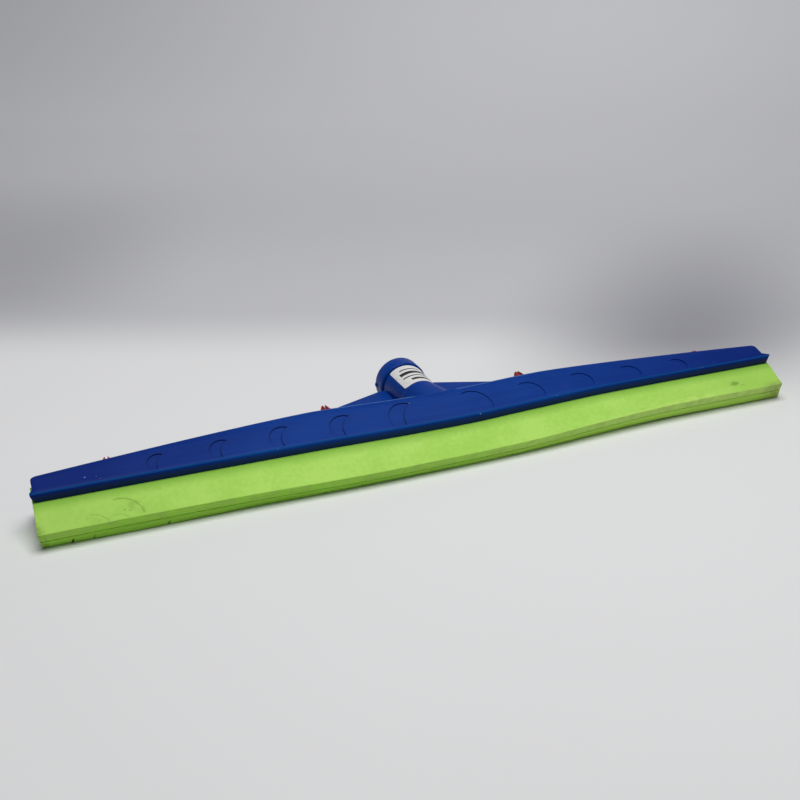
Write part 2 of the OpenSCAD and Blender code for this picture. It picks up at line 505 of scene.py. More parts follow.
def worn(f, colour):
    """Marks, each at its own place on the blade, broken up by noise, and painted shade in the nicks and
    along the rear strip's lowest edge.
    """
    broken = f.band(f.noise(0.8, 3), 0.38, 0.6)
    soft = f.band(f.noise(5, 4, shift=5.0), 0.3, 0.65)
    olive, dark = (0.13, 0.22, 0.025), (0.05, 0.07, 0.02)

    def ring(x, y, radius, width, low, high):
        """Part of a thin curved scratch round a middle, between two places along the blade."""
        away = f.math_length(f.x - x, f.y - y)
        line = f.band(abs(away - radius), width, 0)
        return line * f.band(f.x, low, low + 1) * f.band(f.x, high, high - 1) * f.band(f.y, y, y + 2)

    front = f.band(f.z, 6.0, 6.6)
    curved = ring(-226, 1, 14.3, 1.1, -229, -208) + ring(-243, -3, 10.5, 0.8, -243, -232) * 0.7
    curved = curved + ring(-228, -4, 8.5, 0.8, -234, -219) * 0.5
    colour = f.mix(curved * (broken * 0.6 + 0.4) * front * 0.5, colour, olive)
    smear = f.spot(-216, 7.5, 8, 5, soft=0.95, turn=-0.8)
    smear = smear + f.spot(-240, 2, 9, 3, soft=0.95, turn=-0.5) * 0.7
    colour = f.mix(smear * soft * front * 0.28, colour, olive)
    # Spots: place, half width, half height and strength.
    for x, y, wide, high, strength in (
            (-223, 6.8, 1.3, 0.9, 0.5), (-219.5, 5.6, 1.5, 0.7, 0.45), (-213, 10.5, 0.8, 0.8, 0.4),
            (-199, 17, 0.6, 0.6, 0.6), (150, 2.6, 3.0, 0.8, 0.3), (-60, 9, 0.6, 0.6, 0.35),
            (235, 9.0, 5.2, 2.7, 0.6), (243, 6.0, 5.0, 1.4, 0.5), (58, 14, 0.7, 0.5, 0.35)):
        colour = f.mix(f.spot(x, y, wide, high, soft=0.8) * soft * front * strength, colour, olive)
    left_corner = f.spot(-274, 3, 5, 8, soft=0.9) * soft
    right_corner = f.band(f.x, 250, 273) * f.band(f.y, 6, 1) * (soft * 0.7 + 0.3)
    colour = f.mix(left_corner * 0.55, colour, olive)
    colour = f.mix(right_corner * 0.6, colour, (0.24, 0.26, 0.09))
    pale = f.spot(196, 2.2, 34, 2.6, soft=0.9) * soft + f.spot(150, 1.0, 60, 1.4, soft=0.9) * 0.5
    colour = f.mix(pale * front * 0.5, colour, (0.66, 0.90, 0.22))
    specks = f.band(f.cells(9), 0.05, 0.03) * f.band(f.noise(40, 1), 0.5, 0.6)
    colour = f.mix(specks * 0.6, colour, dark)
    # Painted shade: short dark lines in the nicks of the rear strip's cut edge.
    torn = 0
    for x, deep in REAR_NICKS:
        torn = f.band(abs(f.x - x - (f.z + 5) * 0.35), 1.1, 0.3) * deep + torn
    colour = f.mix(torn * f.band(f.z, -1.6, -3.4) * f.band(f.y, 2, 0.3) * 0.6, colour, dark)
    # Darker along the rear strip's lowest edge where it meets the floor: partly dirt, partly painted
    # contact shadow.
    heel = f.band(f.y, 0.9, 0.1) * f.band(f.z, -5.9, -6.6)
    return f.mix(heel * (0.25 + soft * 0.35), colour, dark)


# %% Foam
def green_foam():
    """Skin on the broad faces, knife lines on the cut ones, wear, painted shade and pores over both."""
    f = Finish("green_foam_rubber", own_place=True, IOR=1.35, Specular_IOR_Level=0.25)
    cloud = f.noise(38, 3)
    fine = f.noise(3.2, 4)
    mottle = f.band(cloud * 0.65 + fine * 0.35, 0.38, 0.62)
    face = f.mix(mottle, (0.44, 0.78, 0.125), (0.52, 0.86, 0.165))
    # Painted shade: the face is darker towards both ends.
    ends = f.band(abs(f.x), 120, 270)
    face = f.mix(ends * 0.42, face, (0.36, 0.62, 0.10))
    # Painted shadow: the face darkens just below the lips.
    under_lip_shadow = f.band(f.y, 14, 24)
    face = f.mix(under_lip_shadow * 0.75, face, (0.18, 0.43, 0.035))
    cut = f.band(f.y, 0.45, 0.15)
    end_cut = f.band(abs(f.x), 274.3, 274.6)
    knife = f.noise(1, 3, stretch=(0.02, 1.2, 1.6))
    edge = f.mix(f.band(knife, 0.35, 0.65), (0.34, 0.71, 0.06), (0.42, 0.81, 0.095))
    to_right = f.band(f.x, -120, 230) * f.band(f.z, -1, 0.5, 0.4, 0.8)
    edge = f.mix(to_right, edge, (0.66, 0.93, 0.24))
    rear_half = f.band(f.x, -60, 150) * f.band(f.z, 0.2, -1.5)
    edge = f.mix(rear_half * 0.65, edge, (0.60, 0.98, 0.14))
    soiled = f.band(f.z, 0.4, 1.2) * f.band(f.noise(6, 4, shift=9.0), 0.3, 0.7)
    edge = f.mix(soiled * 0.4, edge, (0.36, 0.46, 0.15))
    colour = worn(f, f.mix(f.math_max(cut, end_cut) * 0.9, face, edge))
    pores = f.band(f.cells(0.6), 0.1, 0.3)
    grain = pores * 0.5 + fine + knife * cut * 1.5
    return f.finished(Base_Color=colour, Roughness=0.76 + fine * 0.16, Normal=f.bump(grain, 0.12, 0.55))


foam = green_foam()

# %% [markdown]
# ## Red nylon
#
# The rivets are moulded nylon. They are small, so their finish is short: a red that varies a
# little, pale dust that has settled in patches, and a skin with a fine grain.

# %% Red nylon
def red_nylon():
    """A shiny red with a little dust."""
    f = Finish("red_nylon", IOR=1.53, Specular_IOR_Level=0.3)
    cloud = f.noise(3, 3)
    colour = f.mix(f.band(cloud, 0.35, 0.65), (0.27, 0.007, 0.008), (0.40, 0.014, 0.014))
    dust = f.band(f.noise(1.3, 3), 0.6, 0.75)
    colour = f.mix(dust * 0.3, colour, (0.45, 0.2, 0.18))
    grain = f.bump(f.noise(0.5, 2), 0.04, 0.5)
    return f.finished(Base_Color=colour, Roughness=0.36 + cloud * 0.2, Normal=grain)


red = red_nylon()

# %% [markdown]
# ## The front plate
#
# Each side of the frame is a thin plate that leans in towards the other. Its top edge is
# highest on either side of the socket and falls in a soft curve to the ends. Its foot turns
# in to a slanting lip that presses on the foam, and the lip sticks out at both ends as a small
# point.
#
# A sheet is the right start for such a moulding: a grid is pulled to the outline, its lower
# edge is extruded down to make the lip, and Solidify then gives the whole sheet its wall, so
# the wall is even everywhere, as a moulding's has to be.

# %% Outline of the plates
wall = 2.4
lip_y, lip_z, lip_low = 27.2, 12.6, 23.5
plate_lean = math.radians(8.5)
plate_inset = 3.0
plate_l = frame_l - 2 * plate_inset
end_h, crest_h, neck_h, crest_x, neck_x = 40.5, 54.0, 51.5, 89.0, 12.0


def plate_z(y):
    """Outer face of a plate: its distance from the middle plane at a height."""
    return lip_z - (y - lip_y) * math.tan(plate_lean)


def top_y(x):
    """Top edge of a plate."""
    a = abs(x)
    if a > crest_x:
        return crest_h - (crest_h - end_h) * ((a - crest_x) / (plate_l / 2 - crest_x)) ** 1.3
    swing = math.pi * max(0, a - neck_x) / (crest_x - neck_x)
    return neck_h + (crest_h - neck_h) * (1 - math.cos(swing)) / 2


print("top edge at the end, crest and neck:", [round(top_y(x), 1) for x in (plate_l / 2, crest_x, 0)])

# %% Pull a grid to the outline
ledge_y, first_row = 30.0, 0.2
left_extra, right_extra = -1.9, -1.0
corner_x, corner_r = plate_l / 2 - 1.1, 4.0
deselect()
bpy.ops.mesh.primitive_grid_add(x_subdivisions=160, y_subdivisions=5, size=1)
front_plate = named("front_plate")


def on_plate(across, up, z):
    """Puts a point of the flat grid on the plate's outer face, and shifts both ends to the left."""
    x, share = across * plate_l, up + 0.5
    if share < first_row / 2:
        y = lip_y
    else:
        y = ledge_y + (share - first_row) / (1 - first_row) * (top_y(x) - ledge_y)
    x += left_extra * ease(-x, 200, 272) + right_extra * ease(x, 200, 272)
    return x, y, plate_z(y)


reshape(front_plate, on_plate)
edit(front_plate)
corners = pick(front_plate, "VERT", lambda v: abs(v.co.x) > corner_x and v.co.y > end_h - 0.1)
bpy.ops.mesh.bevel(offset=corner_r, segments=5, affect="VERTICES", offset_type="OFFSET")
print("rounded corners:", corners, "points in the sheet:", len(front_plate.data.vertices))

# %% Extrude the lip and pull out its points
lip_steps, lip_bulge = 5, 0.6
point_left, point_right, point_slant = -2.0, 5.6, 3.6


def lip_at(share):
    """A point of the lip's face, between a straight slant and a quarter round."""
    turn = share * math.pi / 2
    down = lip_bulge * math.sin(turn) + (1 - lip_bulge) * share
    back = lip_bulge * (1 - math.cos(turn)) + (1 - lip_bulge) * share
    return Vector((0, lip_y - (lip_y - lip_low) * down, lip_z - (lip_z - foam_t) * back))


pick(front_plate, "EDGE", lambda e: all(v.co.y < lip_y + 0.1 for v in e.verts))
for i in range(lip_steps):
    move = lip_at((i + 1) / lip_steps) - lip_at(i / lip_steps)
    bpy.ops.mesh.extrude_region_move(TRANSFORM_OT_translate={"value": move})
deselect()


def lip_points(x, y, z):
    """The lip's widest line runs on beyond the plate, further on the right."""
    if y > lip_y + 0.1 or abs(x) < corner_x:
        return x, y, z
    drop = (lip_y - y) / (lip_y - lip_low)
    if x < 0:
        beyond = point_left + point_slant * drop ** 4
    else:
        beyond = point_right - point_slant * drop
    return x + beyond, y, z


reshape(front_plate, lip_points)
print("lip from %.1f to %.1f" % (lip_low, lip_y))

# %% Give the sheet its wall and soft edges
foam_gap = 0.02
edit_all(front_plate)
close_outwards()
facing = sum(f.normal.z for f in front_plate.data.polygons)
modify(front_plate, "SOLIDIFY", thickness=wall, offset=-1 if facing > 0 else 1, use_even_offset=True,
       use_quality_normals=True)
reshape(front_plate, lambda x, y, z: (x, y, max(z, foam_t + foam_gap) if y < ledge_y else z))
merge(front_plate)
soften(front_plate, 0.55, 3, 30)
print("front plate:", len(front_plate.data.polygons), "faces")

# %% [markdown]
# ## Fin-shaped recesses
#
# Ten shallow recesses, five on each side, break up the long plate. Each looks like a small
# fin: two arcs that meet in a point and run down to the lip. A fin is a disc with a second
# disc taken away. Bump could draw it, but a real recess catches the light along its steps, so
# it is cut 0.6 mm deep with a Boolean.

# %% Cut the fins
fin_depth, fin_foot = 0.6, 1.3
# Place of each fin's point, and its size.
fins = [(19.7, 45.4, 1.0), (64.9, 44.3, 0.85), (108.5, 44.0, 0.75), (150.2, 42.2, 0.68),
        (192.5, 40.2, 0.58)]
# The disc and the one taken away from it: radius, and middle outward and down from the point.
FIN_ARCS = ((12.9, 6.2, 11.3), (17.6, -8.3, 15.5))


def fin(x, y, size, side):
    """A fin-shaped cutter that stands on the plate's face, with its point at x and y."""
    discs = []
    for radius, along, down in FIN_ARCS:
        deselect()
        bpy.ops.mesh.primitive_cylinder_add(
            vertices=96, radius=radius * size, depth=8 if discs else 2,
            location=(side * (x + along * size), y - down * size, 0))
        discs.append(named("fin_cutter"))
        apply_place(discs[-1])
    carve(*discs)
    cutter = discs[0]
    edit_all(cutter)
    bpy.ops.mesh.bisect(plane_co=(0, lip_y + fin_foot, 0), plane_no=(0, 1, 0), use_fill=True,
                        clear_inner=True)
    deselect()
    reshape(cutter, lambda x, y, z: (x, y, plate_z(y) + z + 1 - fin_depth))
    return cutter


for x, y, size in fins:
    for side in (-1, 1):
        carve(front_plate, fin(x, y, size, side))
print("fins cut:", 2 * len(fins), "faces:", len(front_plate.data.polygons))

# %% [markdown]
# ## The rear plate
#
# The rear plate is the front one in a mirror. A copy is scaled by -1, which turns its faces
# inside out, so its normals are made consistent again. Its left point is a little shorter.

# %% Mirror the plate
rear_plate = mirror_of(front_plate, "rear_plate", (1, 1, -1))
rear_point = 1.6
rear_end = plate_l / 2 + rear_point
reshape(rear_plate, lambda x, y, z: (max(x, -rear_end), y, z))
print("rear plate:", len(rear_plate.data.polygons), "faces")

# %% [markdown]
# ## Inside the trough
#
# Between the plates lies a trough. Its floor is what the foam's root presses on, thin cross
# ribs hold the plates apart, and four tubes guide the rivets. Seen from behind and from above,
# they are what makes the frame look moulded and not folded from sheet.

# %% Channel floor and cross ribs
floor_t = 2.4
floor_y = foam_h + 0.2
floor_w = 2 * (plate_z(floor_y + floor_t) - wall / 2)
channel_floor = block("channel_floor", (plate_l - 1, floor_t, floor_w), (0, floor_y + floor_t / 2, 0))
slices(channel_floor, 0, 60)
soften(channel_floor, 0.5)

rib_count, rib_end, rib_t, rib_drop = 17, 32, 1.8, 2
rib_inset, rib_raise = 0.35, 0.3
rib_span = plate_l - 2 * rib_end


def cross_rib(place):
    """A thin rib whose sides lean with the plates."""
    foot, head = floor_y + floor_t / 2, top_y(place) - rib_drop
    rib = block("cross_ribs", (rib_t, head - foot, 2), (place, (head + foot) / 2, 0))
    reshape(rib, lambda x, y, z: (x, y, z * (plate_z(y) - wall / 2)))
    edit(rib)
    pick(rib, "FACE", lambda f: f.normal.y > 0.5)
    bpy.ops.mesh.inset(thickness=rib_inset, depth=rib_raise)
    deselect()
    return rib


ribs = [cross_rib(-rib_span / 2 + i * rib_span / (rib_count - 1)) for i in range(rib_count)]
cross_ribs = join(*ribs)
print("ribs:", rib_count, "faces:", len(cross_ribs.data.polygons))

# %% Tubes for the rivets
rivet_end, shank_r, shank_gap, tube_wall = 49.25, 2.3, 0.3, 1.9
inner_seat, outer_seat = 57.0, 46.5
pitch = (frame_l - 2 * rivet_end) / 3
rivet_x = [(i - 1.5) * pitch for i in range(4)]


def seat_y(x):
    """Height of the shoulder that a rivet's head rests on."""
    return inner_seat if abs(x) < pitch else outer_seat


def rivet_tube(x):
    """A turned tube with softened upper edges."""
    hole, outside = shank_r + shank_gap, shank_r + shank_gap + tube_wall
    foot, head, edge = floor_y + 0.1, seat_y(x), 0.4
    tube = turned("rivet_tubes", [
        (hole, foot), (outside, foot), (outside, head - edge), (outside - edge * 0.3, head - edge * 0.3),
        (outside - edge, head), (hole + edge, head), (hole, head - edge), (hole, foot)], 32)
    put(tube, (x, 0, 0), -math.pi / 2)
    return tube


rivet_tubes = join(*[rivet_tube(x) for x in rivet_x])
print("tubes at", [round(x, 1) for x in rivet_x])

# %% [markdown]
# ## The handle socket
#
# The socket is a slightly tapered sleeve with a thick rounded rim. Its bore has a coarse
# thread for the broom handle. It is turned like a lathe piece: one outline, from the domed
# end, up the sleeve, round the rim and down the bore. The thread is a helix, so it can't come
# from the outline alone. The rows of the bore are moved in and out by a wave that climbs one
# pitch for each turn. A small lug on the left of the rim is a patch of faces, cut finer,
# pulled out and narrowed.

# %% Socket outline
socket_angle = math.radians(26)
socket_l, bore_l = 46.9, 40.0
sleeve_r, dome_r, rim_r, rim_l, rim_round = 16.7, 15.8, 18.2, 13.5, 1.6
dome_y, dome_back = 61.0, 11.8
bore_wall, bore_clear, thread_pitch = 12.5, 11.35, 4.0
dome_round, groove, mouth_l, thread_rows = 1, 0.45, 2.4, 92
rim_face = Vector((0, dome_y + socket_l * math.cos(socket_angle),
                   -dome_back - socket_l * math.sin(socket_angle)))


def arc(middle_r, middle_h, radius, start, end, count=6):
    """Points of a rounding, as (radius, height), with angles in degrees."""
    turns = [math.radians(start + (end - start) * i / count) for i in range(count + 1)]
    return [(middle_r + radius * math.cos(t), middle_h + radius * math.sin(t)) for t in turns]


# Dome, groove under the rim, rim, mouth, threaded rows and the end of the bore.
outline = [(0, -socket_l)]
outline += arc(dome_r - dome_round, -socket_l + dome_round, dome_round, -90, 0)
outline += [(sleeve_r, -rim_l - 1.5), (sleeve_r - groove, -rim_l - 1.1), (sleeve_r - groove, -rim_l)]
outline += arc(rim_r - rim_round, -rim_l + rim_round, rim_round, -90, 0)
outline += arc(rim_r - rim_round, -rim_round, rim_round, 0, 90)
outline += arc(bore_wall + 1.6, -0.5, 0.5, 90, 180)
outline += [(bore_wall, -mouth_l)]
outline += [(bore_wall, -mouth_l - (bore_l - 3.4) * i / thread_rows) for i in range(1, thread_rows + 1)]
outline += [(bore_wall - 1, -bore_l), (0, -bore_l)]
handle_socket = turned("handle_socket", outline, 72)
print("socket outline:", len(outline), "points")

# %% Thread and lug
lug_low, lug_high, lug_half, lug_out, lug_taper = -4.6, -1.6, 1.6, 0.9, 0.6


def threaded(x, y, z):
    """Moves a point of the bore in where the thread's ridge passes."""
    radius = math.hypot(x, y)
    if abs(radius - bore_wall) > 0.05 or z > -2.5 or z < -bore_l + 1.5:
        return x, y, z
    phase = (z / thread_pitch + math.atan2(y, x) / math.tau) % 1
    ridge = ease(1 - abs(phase - 0.5) * 2, 0.35, 0.8)
    fade = ease(-z, 2.5, 6) * (1 - ease(-z, bore_l - 6, bore_l - 2))
    scale = 1 - (bore_wall - bore_clear) * ridge * fade / radius
    return x * scale, y * scale, z


reshape(handle_socket, threaded)
edit(handle_socket)
pick(handle_socket, "FACE", lambda f: f.normal.x < -0.97 and middle(f).x < -rim_r + 0.5
     and -rim_l + 1.5 < middle(f).z < -1.5)
bpy.ops.mesh.subdivide(number_cuts=3)
lug = pick(handle_socket, "FACE", lambda f: f.normal.x < -0.98 and middle(f).x < -rim_r + 0.3
           and lug_low < middle(f).z < lug_high and abs(middle(f).y) < lug_half)
bpy.ops.mesh.extrude_region_move(TRANSFORM_OT_translate={"value": (-lug_out, 0, 0)})
bpy.ops.transform.resize(value=(1, lug_taper, lug_taper))
deselect()
put(handle_socket, rim_face, -math.pi / 2 - socket_angle)
print("faces in the lug:", lug, "faces in all:", len(handle_socket.data.polygons))

# %% [markdown]
# ## The neck
#
# Between the socket and the plates the plastic flows in one smooth shoulder. Seen from the
# front it looks like a hump that grows out of the front plate and leans back over the end of
# the sleeve. It starts as two loops: a circle round the sleeve's end and a rounded
# rectangle that sits astride the plates. Bridge Edge Loops joins them, with cuts in between,
# and gives the straight, taut surface of the real one.

# %% Two loops and a bridge
neck_sides, neck_rows, collar = 64, 10, 0.45
collar_s, buried_s = socket_l - 0.4, socket_l - 2.2
foot_front_y, foot_back_y, foot_front_gap, foot_back_gap = 49.6, 35.0, 0.55, 0.05
foot_shift, foot_wide, foot_narrow = 0.5, 17.5, 0.42


def loop_at(place, turn, size_x, size_y, squareness, narrow=0.0):
    """A circle of edges, squared off, resized, narrowed at its front left, and set in its place."""
    deselect()
    bpy.ops.mesh.primitive_circle_add(vertices=neck_sides, radius=1)
    loop = named("neck_loop")

    def squared(x, y, z):
        power = 2 / squareness
        less = narrow * ease(y, -0.6, 0.8) if x < 0 else 0
        return (math.copysign(abs(x) ** power, x) * size_x * (1 - less),
                math.copysign(abs(y) ** power, y) * size_y, 0)

    reshape(loop, squared)
    put(loop, place, turn)
    return loop


def along_socket(s):
    """A point on the socket's axis, s millimetres behind the rim's face."""
    return rim_face - s * Vector((0, math.cos(socket_angle), -math.sin(socket_angle)))


socket_turn = math.pi / 2 - socket_angle
foot_front = Vector((0, foot_front_y, plate_z(foot_front_y) + foot_front_gap))
foot_back = Vector((0, foot_back_y, -plate_z(foot_back_y) - foot_back_gap))
foot_turn = math.atan2(foot_front.z - foot_back.z, foot_front.y - foot_back.y)
foot_half = (foot_front - foot_back).length / 2
foot_middle = (foot_front + foot_back) / 2
join(
    loop_at(along_socket(collar_s), socket_turn, dome_r + collar, dome_r + collar, 2),
    loop_at(foot_middle + Vector((foot_shift, 0, 0)), foot_turn, foot_wide, foot_half, 5, foot_narrow))
neck = named("neck_shoulder")
edit_all(neck)
bpy.ops.mesh.bridge_edge_loops(number_cuts=neck_rows, interpolation="LINEAR")
print("bridged faces:", len(bmesh.from_edit_mesh(neck.data).faces))

# %% Close the neck and round its collar
def at_socket_end(item):
    """Whether an edge belongs to the open end at the socket."""
    return all((v.co - along_socket(collar_s)).dot(rim_face - along_socket(1)) > -0.05
               for v in item.verts)


pick(neck, "EDGE", at_socket_end)
bpy.ops.mesh.extrude_region_move(TRANSFORM_OT_translate={
    "value": along_socket(buried_s) - along_socket(collar_s)})
bpy.ops.mesh.edge_face_add()
bpy.ops.mesh.select_mode(type="EDGE")
bpy.ops.mesh.select_all(action="DESELECT")
bpy.ops.mesh.select_non_manifold(extend=False)
bpy.ops.mesh.edge_face_add()
bpy.ops.mesh.select_all(action="SELECT")
close_outwards()
soften(neck, 0.6, 3, 50)
print("neck:", len(neck.data.polygons), "faces")

# %% [markdown]
# ## Gusset webs
#
# Two thin webs run from the sides of the sleeve down to the rear plate, and stop the socket
# from snapping off sideways. Each is a slab that narrows towards the sleeve. One is modelled
# and the other is its mirror.

# %% Webs
web_t, web_reach, web_top_x, web_top_s, web_foot_y = 2.2, 140.0, 22.0, 17.0, 50.0
web_angle = socket_angle - math.radians(4)
web_rise = (rim_face.y - web_foot_y) / math.cos(web_angle) - web_top_s
web_inner, web_tail, web_back = 14.6, 5.0, 0.8
web = block("gusset_webs", (web_reach - web_inner, web_rise + web_tail, web_t),
            (-(web_reach + web_inner) / 2, (web_rise - web_tail) / 2, 0))
slices(web, 1, 8)
slices(web, 0, 10)


def web_shape(x, y, z):
    """Narrows the slab from its foot to its top."""
    outer = web_reach + (web_top_x - web_reach) * (max(0, y) / web_rise)
    share = (-x - web_inner) / (web_reach - web_inner)
    return -(web_inner + share * (outer - web_inner)), y, z


reshape(web, web_shape)
soften(web, 0.6, 3, 40)
gusset_webs = join(web, mirror_of(web, "web_copy", (-1, 1, 1)))
put(gusset_webs, (0, web_foot_y, -plate_z(web_foot_y) - web_back), -web_angle)
print("webs rise %.1f mm" % web_rise)

# %% [markdown]
# ## Blue plastic
#
# The frame is injection moulded polypropylene. It has a satin skin with a very fine orange
# peel, faint flow lines along its length, dull patches where it has been handled, and a few
# fine scratches. The colour itself hardly varies, and the life of such a plastic is in its
# roughness. Light and shade are painted in as well: both ends are darker, the rims of the
# plates get a painted highlight line, which follows the same outline that the plates were
# pulled to, the lip gets a painted highlight along its upper edge and painted shade below it,
# the steps of the fins get thin lines of painted shade, and two small glints are painted on.
# One finish is used for every moulded piece, so that no joint shows between the plates, the
# neck and the socket.


# %% Painted edge highlights, painted shade on the lip and fins, and small marks
def painted_edge_highlight(f):
    """Painted highlight lines along the top edges of the plates, left out where the neck covers them."""
    a = abs(f.x)
    beyond = f.math_max(a - crest_x, 0) / (plate_l / 2 - crest_x)
    top = crest_h - (crest_h - end_h) * beyond ** 1.3 - (crest_h - neck_h) * f.band(a, crest_x, neck_x)
    above = f.y - top
    line = f.band(above, -0.9, -0.5) * f.band(above, 0.5, 0.2) * f.band(a, 130, 75, 0.1, 1.0)
    return line * f.band(abs(f.x - 3), 14, 18) * f.band(f.noise(9, 3, shift=4.0), 0.25, 0.6, 0.35, 0.9)


def lip_highlight_and_shade(f, colour):
    """A painted highlight along the lip's upper edge, and painted shade on its lower part."""
    outside = f.band(abs(f.z), lip_z - 1.4, lip_z - 0.9)
    # Painted highlight along the lip's upper edge.
    colour = f.mix(f.band(abs(f.y - 26.75), 0.9, 0.2) * outside * 0.45, colour, (0.008, 0.13, 0.42))
    # Painted shade on the lip's lower part, which faces down towards the foam.
    lip_underside_shade = f.band(f.y, 26.4, 24.2) * f.band(abs(f.z), foam_t - 0.5, foam_t + 0.5)
    return f.mix(lip_underside_shade * 0.62, colour, (0.002, 0.014, 0.028))


def fin_step_shade(f):
    """Thin lines of painted shade along the steps of the fins."""
    found = 0
    for x, y, size in fins:
        near, far = [f.math_length(abs(f.x) - x - along * size, f.y - y + down * size) - radius * size
                     for radius, along, down in FIN_ARCS]
        outer = f.band(abs(near), 0.75, 0.15) * f.band(far, -0.4, 0.1)
        inner = f.band(abs(far), 0.75, 0.15) * f.band(near, 0.4, -0.1)
        found = found + (outer + inner) * f.band(f.y, lip_y + 0.8, lip_y + 2.5)
    # The painted shade is much stronger on the left half than on the right.
    return found * f.band(f.z, 2, 3) * f.band(f.x, 10, -10, 0.08, 0.5)


def specks_and_glints(f):
    """A few pale specks on the front plate and its lip, and painted glints, each with its place and
    size.
    """
    found = 0
    # Pale specks, except (-19.5, 45.6) at a fin's point and (25.6, 26.2) on the lip, which are painted
    # glints.
    for x, y, size in ((-242.2, 32.4, 0.7), (-235.4, 31.4, 0.3), (-233.4, 29.1, 0.3),
                       (-19.5, 45.6, 0.5), (25.6, 26.2, 0.6), (214, 26.8, 0.4), (88, 27.0, 0.35),
                       (-120, 26.8, 0.35)):
        found = found + f.spot(x, y, size, size * 0.7, soft=0.7)
    return found * f.band(f.z, 2, 3)


# %% Blue polypropylene
def blue_plastic():
    """The satin blue, with its grime and scratches, painted highlights, glints and shade, and fine skin.
    """
    f = Finish("blue_polypropylene", own_place=True, IOR=1.49, Specular_IOR_Level=0.13)
    cloud = f.noise(60, 3)
    flow = f.noise(1, 3, stretch=(0.012, 0.3, 0.3))
    deep, bright = (0.001, 0.034, 0.243), (0.002, 0.045, 0.292)
    colour = f.mix(f.band(cloud * 0.6 + flow * 0.4, 0.35, 0.65), deep, bright)
    # Painted shade: both ends of the frame are darker than its middle.
    colour = f.mix(f.band(abs(f.x), 90, 270) * 0.8, colour, (0.0005, 0.013, 0.163))
    grime = f.band(f.noise(9, 5, shift=7.0), 0.56, 0.74) * f.band(f.noise(2.2, 2), 0.42, 0.6)
    colour = f.mix(grime * 0.14, colour, (0.02, 0.035, 0.09))
    scratch_a = f.band(f.noise(1, 1, stretch=(0.05, 2.6, 0.05), shift=3.0), 0.66, 0.7)
    scratch_b = f.band(f.noise(1, 1, stretch=(1.7, 0.12, 0.1), shift=11.0), 0.70, 0.74)
    scratches = (scratch_a + scratch_b) * f.band(f.noise(30, 1, shift=2.0), 0.48, 0.6)
    specks = f.band(f.cells(17), 0.045, 0.03)
    colour = f.mix(scratches * 0.2, colour, (0.02, 0.06, 0.25))
    colour = f.mix(specks * 0.4, colour, (0.08, 0.14, 0.33))
    # Painted highlight along the top edges of the plates.
    colour = f.mix(painted_edge_highlight(f) * 0.8, colour, (0.09, 0.20, 0.47))
    # Painted shade along the steps of the fins.
    colour = f.mix(fin_step_shade(f), colour, (0.0012, 0.010, 0.07))
    # Pale specks and painted glints, over the lip's painted highlight and shade.
    colour = f.mix(specks_and_glints(f) * 0.7, lip_highlight_and_shade(f, colour), (0.30, 0.40, 0.62))
    peel = f.noise(1.1, 2)
    rough = 0.30 + cloud * 0.1 + grime * 0.2 + scratches * 0.15 + flow * 0.05
    marks = f.bump(1 - scratches, 0.03, 0.5, after=f.bump(peel, 0.03, 0.5))
    return f.finished(Base_Color=colour, Roughness=rough, Normal=marks)


blue = blue_plastic()

# %% [markdown]
# ## Set the moulding down
#
# Every moulded piece remembers its flat place for the finish, gets the same bow, stands up
# with the others, and turns blue.

# %% Finish the frame
def finish_piece(piece, material, slot, *nodes, angle=32):
    """Smooth shading, finish, body and the nodes that the piece stands for."""
    take(piece)
    piece.data.materials.clear()
    piece.data.materials.append(material)
    bpy.ops.object.shade_smooth_by_angle(angle=math.radians(angle))
    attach(piece, "root")
    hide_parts(*nodes)
    print("%-16s %6d faces" % (piece.name, len(piece.data.polygons)))


for piece in (front_plate, rear_plate, channel_floor, cross_ribs, rivet_tubes, handle_socket, neck,
              gusset_webs):
    remember(piece)
    settle(piece)
    stand(piece)
    finish_piece(piece, blue, "frame_plastic", "frame")

# %% [markdown]
# ## Snap rivets
#
# A snap rivet is pushed up through the frame. Its arrowhead is split, so it closes on the way
# through and springs open over the end of its tube. Shank and arrowhead are turned on the
# lathe, and a wedge cuts the split, wider at the top, so that the two prongs stand a little
# apart. A flat block at the lower end is the head, which the foam strips hide.

# %% One rivet after another
barb_r, barb_h, head_size, head_top = 4.2, 7.0, (8.0, 2.0, 9.0), foam_h - 3
slot_w, slot_below, slot_flare = 1.2, 5, 1.8


def rivet(number, place):
    """A rivet at its place along the blade, as long as its seat is high."""
    seat = seat_y(place)
    outline = [(0, head_top - 1), (shank_r, head_top - 1), (shank_r, seat)]
    # The arrowhead: how far inside its widest place, and how far above the seat.
    outline += [(barb_r - inward, seat + up) for inward, up in (
        (0.3, 0), (0, 0.4), (0, 1.6), (0.5, 2.7), (1.2, 4.2), (1.9, 5.6), (2.4, 6.5), (3.0, barb_h))]
    outline += [(0, seat + barb_h)]
    piece = turned("snap_pin_%d" % number, outline, 40)
    put(piece, turn=-math.pi / 2)
    slot_low, slot_high = seat - slot_below, seat + barb_h + 2
    slot = block("slot", (slot_w, slot_high - slot_low, 12), (0, (slot_low + slot_high) / 2, 0))
    reshape(slot, lambda x, y, z: (x * (slot_flare if y > seat else 1), y, z))
    carve(piece, slot)
    head = block("head", head_size, (0, head_top - head_size[1] / 2, 0))
    soften(head, 0.3)
    join(piece, head)
    soften(piece, 0.18, 2, 40)
    put(piece, (place, 0, 0))
    stand(piece)
    finish_piece(piece, red, "rivet_plastic", "snap_rivet_%d" % number)


for number, place in enumerate(rivet_x, 1):
    rivet(number, place)

